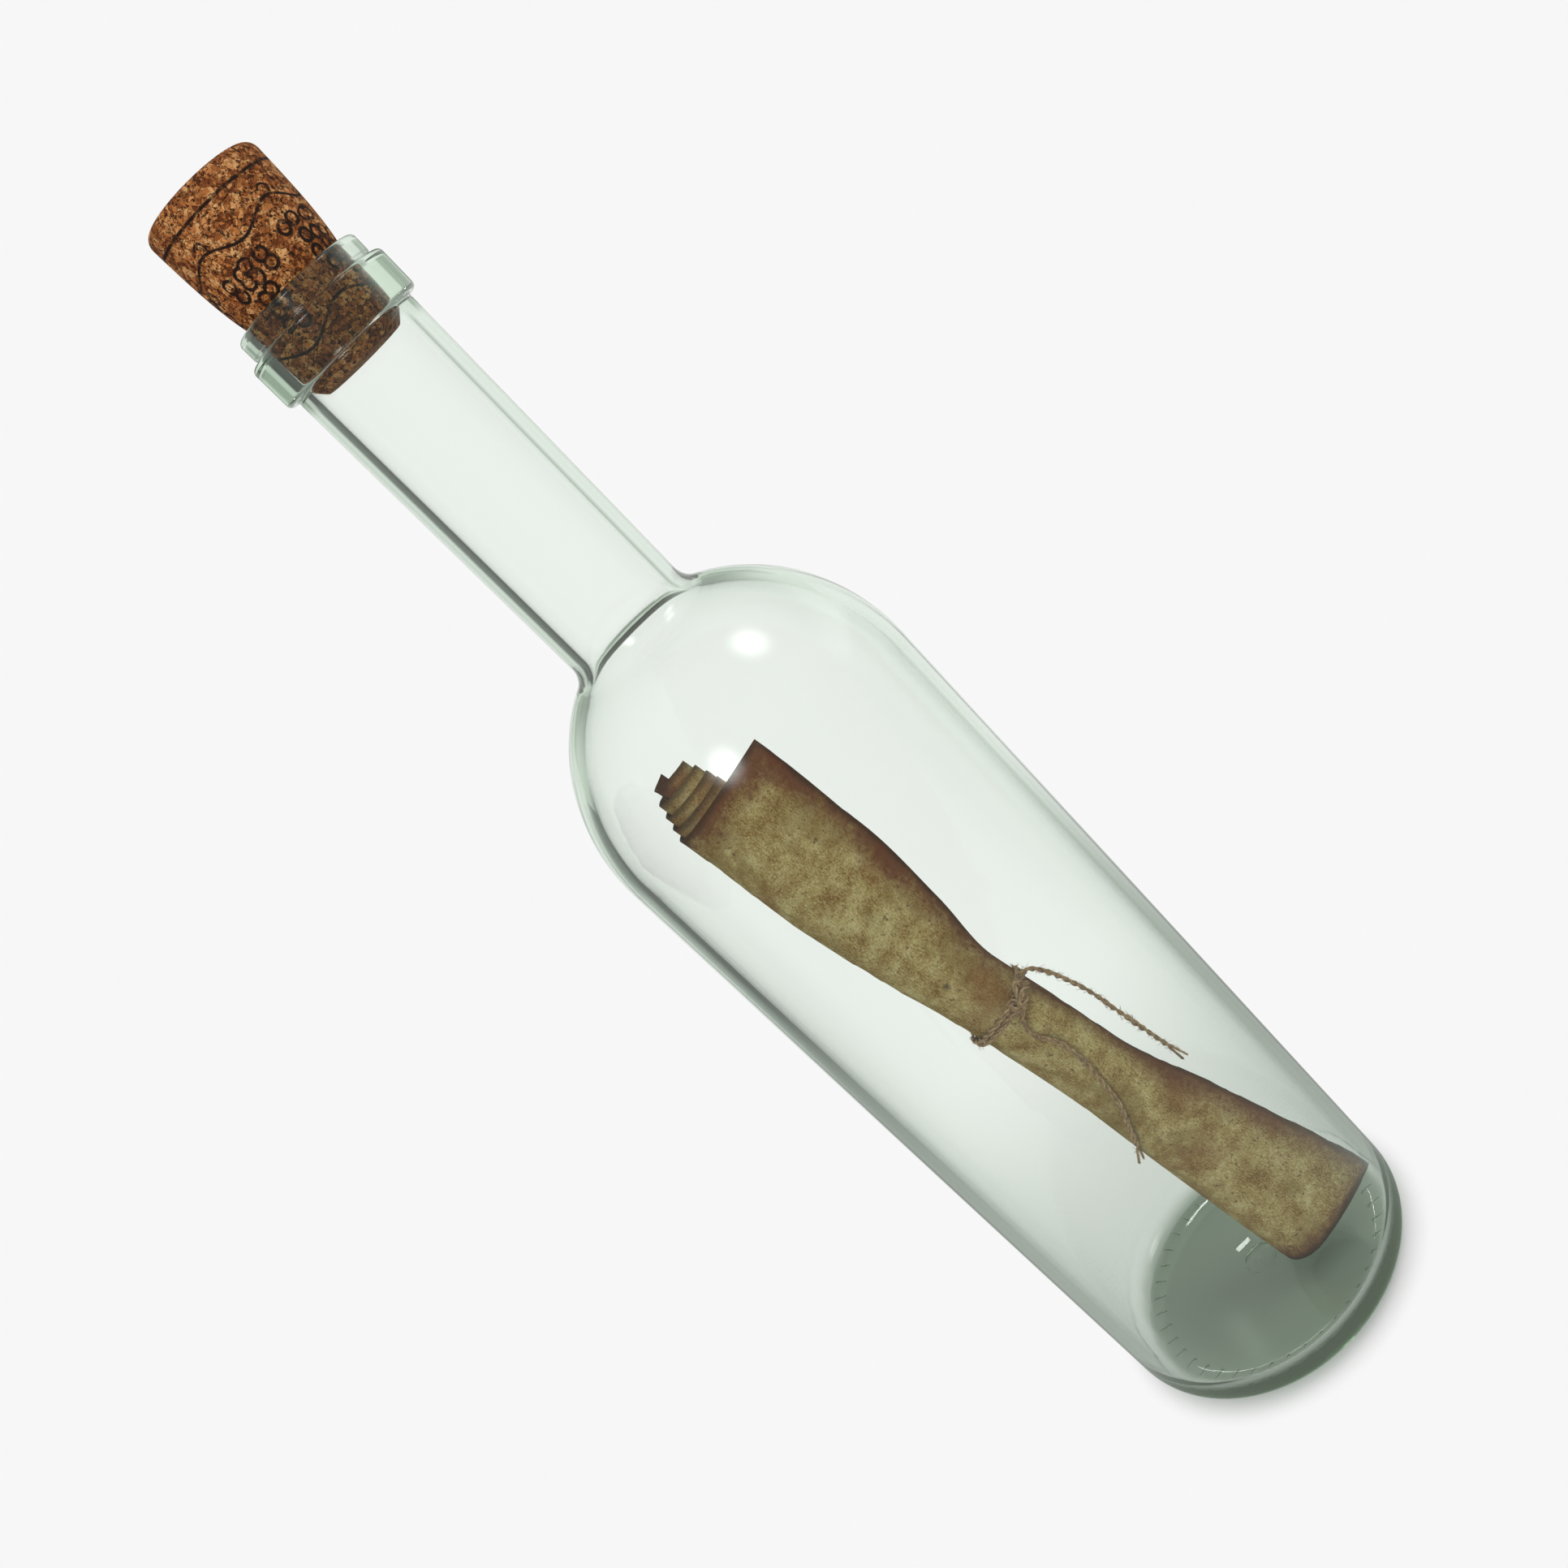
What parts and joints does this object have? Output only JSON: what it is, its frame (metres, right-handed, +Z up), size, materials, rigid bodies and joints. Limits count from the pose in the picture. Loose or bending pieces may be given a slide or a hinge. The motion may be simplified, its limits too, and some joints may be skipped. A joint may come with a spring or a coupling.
{
  "type": "message in a bottle",
  "caption": "Clear round bottle with a tapered cork in its neck, holding a rolled parchment tied round its waist with twine.",
  "frame": {"origin": "middle of the ring that the bottle stands on, in the plane of the table", "axes": "+Z up along the bottle's axis, -Y towards the viewer, +X to the right"},
  "size_m": [0.075, 0.075, 0.3203],
  "materials": {
    "glass": "gloss",
    "cork": "matte",
    "parchment": "matte",
    "twine": "matte"
  },
  "bodies": {
    "glass": {"bottle": "glass"},
    "stopper": {"cork": "cork"},
    "message": {"parchment": "parchment", "twine_wrap": "twine", "twine_knot": "twine", "twine_tail_side": "twine", "twine_tail_front": "twine"}
  },
  "joints": [
    {"name": "cork_pull", "type": "slide", "parent": "glass", "child": "stopper", "axis": [0, 0, 1], "range_m": [0, 0.045]},
    {"name": "message_roll", "type": "hinge", "parent": "glass", "child": "message", "pos_m": [0, 0, 0], "axis": [0, 0, 1], "continuous": true}
  ]
}
